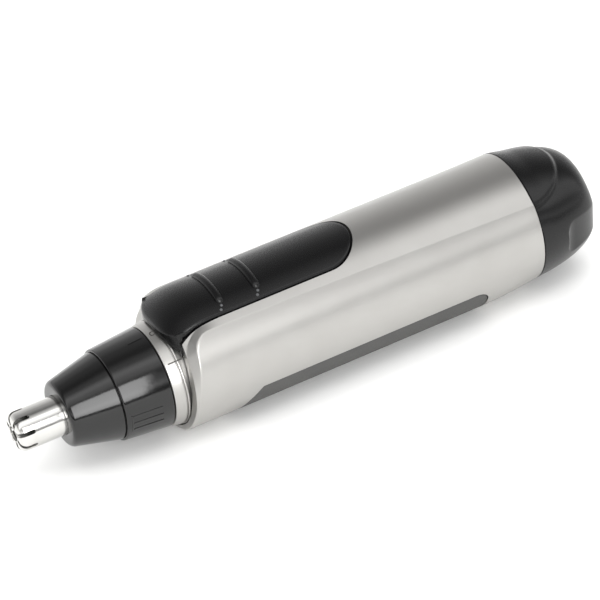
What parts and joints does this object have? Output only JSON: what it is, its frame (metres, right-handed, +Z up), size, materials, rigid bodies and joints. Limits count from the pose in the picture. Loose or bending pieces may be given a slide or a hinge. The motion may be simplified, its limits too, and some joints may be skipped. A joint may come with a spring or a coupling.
{
  "type": "nose hair trimmer",
  "caption": "Slim pen-shaped battery trimmer with a slotted round steel tip, black cone head, sliding thumb switch, oval silver body, rubber grip and twist-off rear cap.",
  "frame": {"origin": "middle of the footprint, on the surface the trimmer lies on", "axes": "-X towards the cutting tip, +X towards the rear cap, +Z up through the thumb switch, +Y to the side away from the near side panel"},
  "size_m": [0.125, 0.027, 0.0284],
  "materials": {
    "polished_steel": "polished stainless steel",
    "gloss_black": "gloss black ABS",
    "satin_black": "satin black ABS",
    "satin_silver": "satin silver metallic paint on ABS",
    "grip_rubber": "matte dark grey elastomer",
    "seal_rubber": "black nitrile rubber",
    "natural_plastic": "natural acetal",
    "frame_plastic": "dark grey ABS",
    "spring_steel": "bright spring steel",
    "motor_steel": "zinc plated steel",
    "rotor_iron": "stacked iron sheet",
    "ferrite": "sintered ferrite",
    "bronze": "sintered bronze",
    "copper": "bare and enamelled copper",
    "contact_plate": "nickel plated brass strip",
    "cell_steel": "nickel plated steel cell",
    "cell_sleeve": "printed shrink sleeve"
  },
  "bodies": {
    "housing": {"body_shell": "satin_silver", "neck_ring": "satin_silver", "neck_oring": "seal_rubber", "grip_panel": "grip_rubber", "switch_bezel": "satin_black", "inner_frame": "frame_plastic", "motor_can": "motor_steel", "motor_endcap": "natural_plastic", "motor_magnets": "ferrite", "motor_bushings": "bronze", "motor_brushes": "copper", "motor_terminals": "contact_plate", "motor_screws": "spring_steel", "shaft_seal": "seal_rubber", "fixed_contacts": "contact_plate", "positive_contact": "contact_plate", "negative_strip": "contact_plate"},
    "motor_rotor": {"motor_shaft": "spring_steel", "rotor_core": "rotor_iron", "rotor_windings": "copper", "commutator": "copper", "drive_coupling": "natural_plastic"},
    "head_carrier": {"cutter_bush": "natural_plastic"},
    "head": {"head_cone": "gloss_black", "head_collar": "gloss_black", "outer_blade": "polished_steel"},
    "cutter": {"inner_blade": "polished_steel", "blade_shaft": "natural_plastic", "blade_spring": "spring_steel"},
    "switch": {"switch_slider": "satin_black", "switch_carrier": "frame_plastic", "moving_contact": "copper"},
    "battery": {"battery_cell": "cell_steel", "battery_sleeve": "cell_sleeve"},
    "cap_insert": {"cap_contact": "contact_plate", "battery_spring": "spring_steel"},
    "cap": {"rear_cap": "satin_black", "cap_oring": "seal_rubber"}
  },
  "joints": [
    {"name": "switch_slide", "type": "slide", "parent": "housing", "child": "switch", "axis": [-1, 0, 0], "range_m": [0, 0.0025]},
    {"name": "motor_spin", "type": "hinge", "parent": "housing", "child": "motor_rotor", "pos_m": [-0.0241, 0, 0.01185], "axis": [1, 0, 0], "continuous": true},
    {"name": "head_pull", "type": "slide", "parent": "housing", "child": "head_carrier", "axis": [-1, 0, 0], "range_m": [0, 0.03]},
    {"name": "head_twist", "type": "hinge", "parent": "head_carrier", "child": "head", "pos_m": [-0.0323, 0, 0.01185], "axis": [1, 0, 0], "range_deg": [0, 30]},
    {"name": "blade_spin", "type": "hinge", "parent": "head_carrier", "child": "cutter", "pos_m": [-0.0428, 0, 0.01185], "axis": [1, 0, 0], "continuous": true},
    {"name": "cap_pull", "type": "slide", "parent": "housing", "child": "cap_insert", "axis": [1, 0, 0], "range_m": [0, 0.07]},
    {"name": "cap_twist", "type": "hinge", "parent": "cap_insert", "child": "cap", "pos_m": [0.0489, 0, 0.01385], "axis": [1, 0, 0], "range_deg": [0, 45]},
    {"name": "battery_slide", "type": "slide", "parent": "housing", "child": "battery", "axis": [1, 0, 0], "range_m": [0, 0.056]}
  ],
  "couplings": [
    {"joint": "blade_spin", "follows": "motor_spin", "ratio": 1},
    {"joint": "battery_slide", "follows": "cap_pull", "ratio": 0.8}
  ]
}
